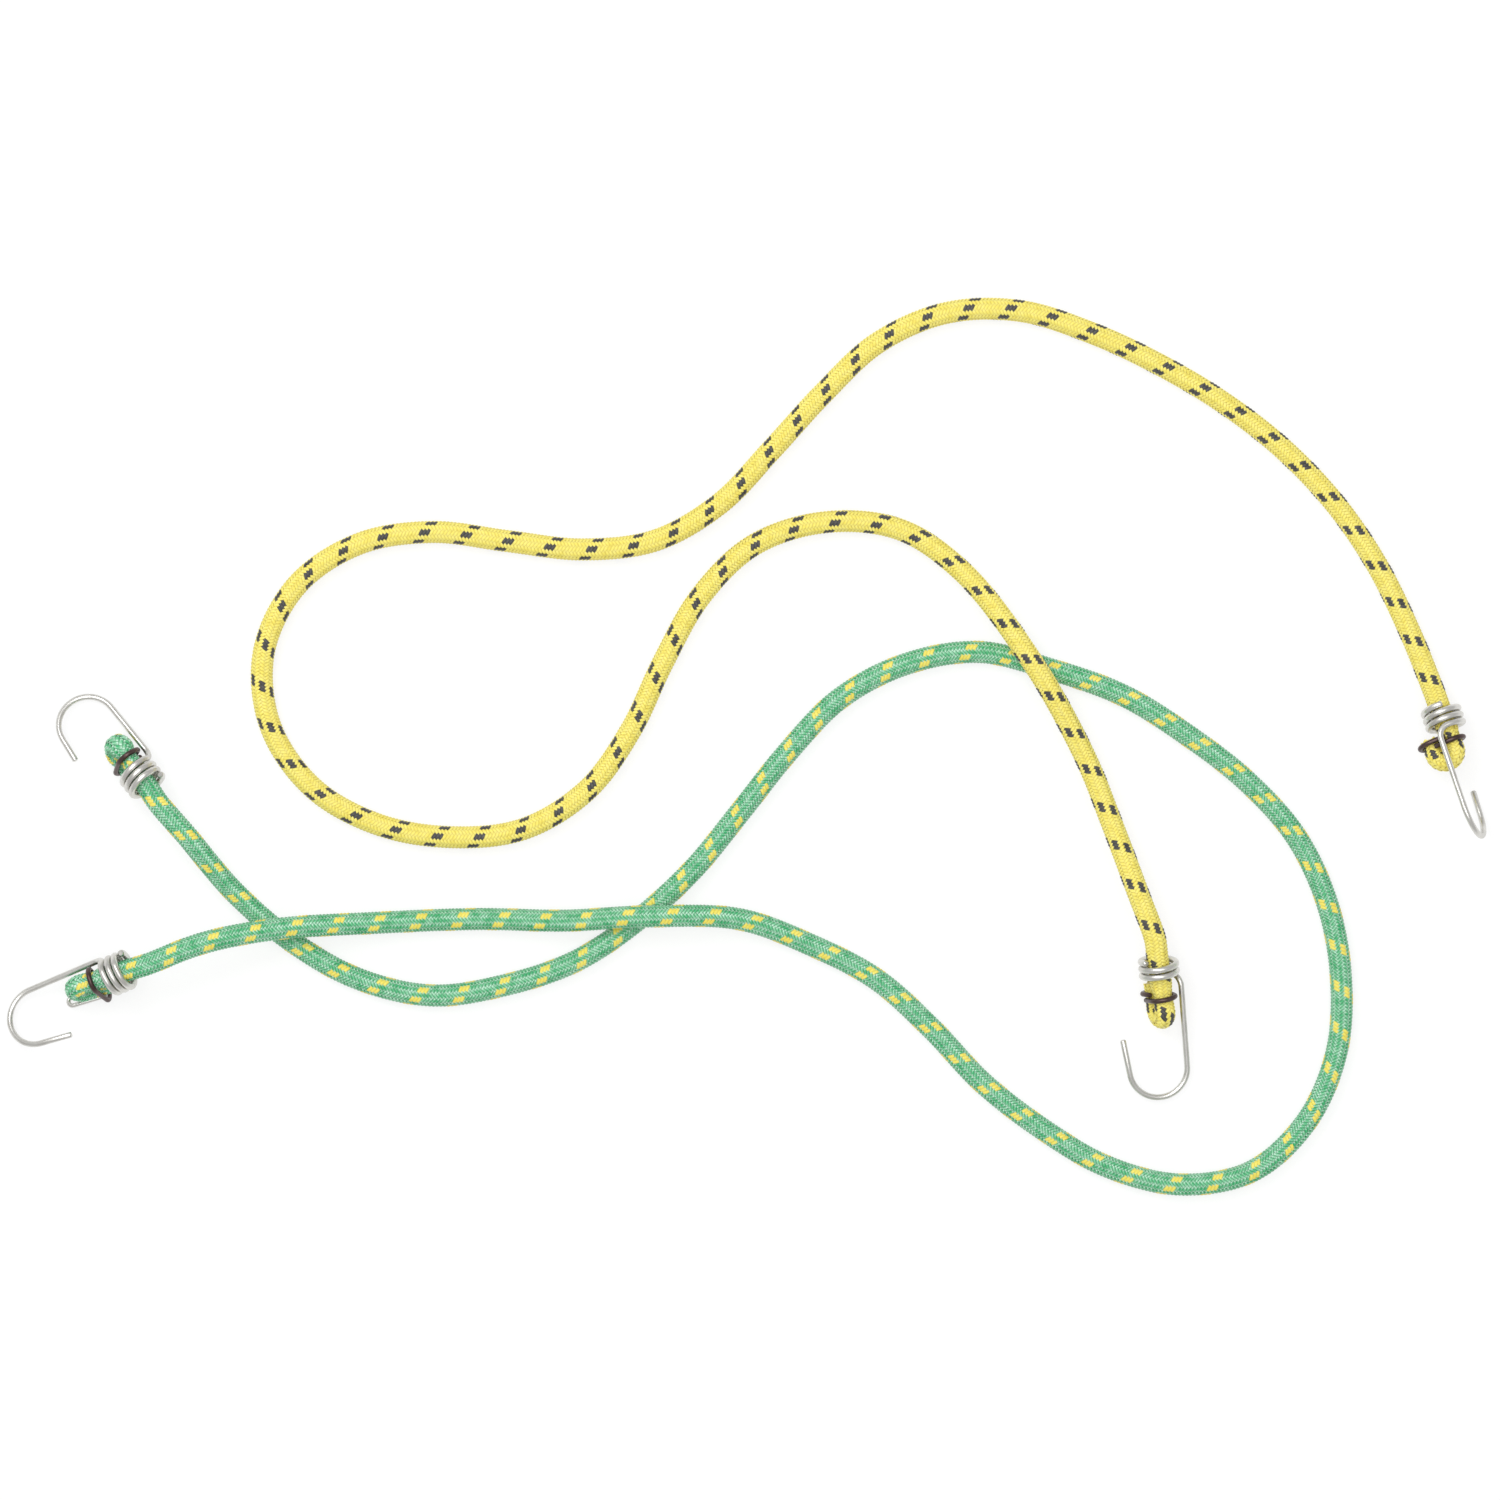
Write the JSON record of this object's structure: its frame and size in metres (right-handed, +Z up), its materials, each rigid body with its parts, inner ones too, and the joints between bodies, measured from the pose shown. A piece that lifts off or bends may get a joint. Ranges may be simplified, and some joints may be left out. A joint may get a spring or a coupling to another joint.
{
  "type": "bungee cord",
  "caption": "Elastic bungee cords lying loosely crossed, each a braided sheath over a rubber core with open wire hooks coiled round its folded, clipped ends.",
  "frame": {"origin": "on the surface that the cords lie on, at the centre of the rectangle that the four hooked ends span in plan", "axes": "+Z up, square to that surface. +X the long way across the tangle, from the green hooks towards the yellow ones. +Y towards the far bend of the yellow cord, which is the top of the picture."},
  "size_m": [0.493, 0.2988, 0.0232],
  "materials": {
    "green_braid": "glossy braided yarn",
    "yellow_braid": "matt braided tape yarn",
    "rubber_core": "matt",
    "steel_wire": "bright galvanised",
    "dark_wire": "dark, half matt"
  },
  "bodies": {
    "green_cord": {"green_sheath": "green_braid", "green_core": "rubber_core", "green_a_fold_sheath": "green_braid", "green_a_fold_core": "rubber_core", "green_a_clip": "dark_wire", "green_b_fold_sheath": "green_braid", "green_b_fold_core": "rubber_core", "green_b_clip": "dark_wire", "green_b_staple": "steel_wire"},
    "yellow_cord": {"yellow_sheath": "yellow_braid", "yellow_core": "rubber_core", "yellow_d_fold_sheath": "yellow_braid", "yellow_d_fold_core": "rubber_core", "yellow_d_clip": "dark_wire", "yellow_c_fold_sheath": "yellow_braid", "yellow_c_fold_core": "rubber_core", "yellow_c_clip": "dark_wire"},
    "green_a_hook": {"green_a_hook": "steel_wire"},
    "green_b_hook": {"green_b_hook": "steel_wire"},
    "yellow_c_hook": {"yellow_c_hook": "steel_wire"},
    "yellow_d_hook": {"yellow_d_hook": "steel_wire"}
  },
  "joints": [
    {"name": "yellow_cord_lift", "type": "slide", "parent": "green_cord", "child": "yellow_cord", "axis": [0, 0, 1], "range_m": [0, 0.06]},
    {"name": "green_a_hook_swivel", "type": "hinge", "parent": "green_cord", "child": "green_a_hook", "pos_m": [-0.2022, 0.0399, 0.0127], "axis": [-0.5489, 0.8138, -0.1908], "range_deg": [-196, 10]},
    {"name": "green_b_hook_swivel", "type": "hinge", "parent": "green_cord", "child": "green_b_hook", "pos_m": [-0.2098, -0.0248, 0.01521], "axis": [-0.9403, -0.2875, -0.1822], "range_deg": [-211, 5]},
    {"name": "yellow_c_hook_swivel", "type": "hinge", "parent": "yellow_cord", "child": "yellow_c_hook", "pos_m": [0.2308, 0.06, 0.00875], "axis": [0.3172, -0.9213, 0.225], "range_deg": [-218, 4]},
    {"name": "yellow_d_hook_swivel", "type": "hinge", "parent": "yellow_cord", "child": "yellow_d_hook", "pos_m": [0.136, -0.0233, 0.0128], "axis": [0.1376, -0.9794, -0.1478], "range_deg": [-18, 196]}
  ]
}
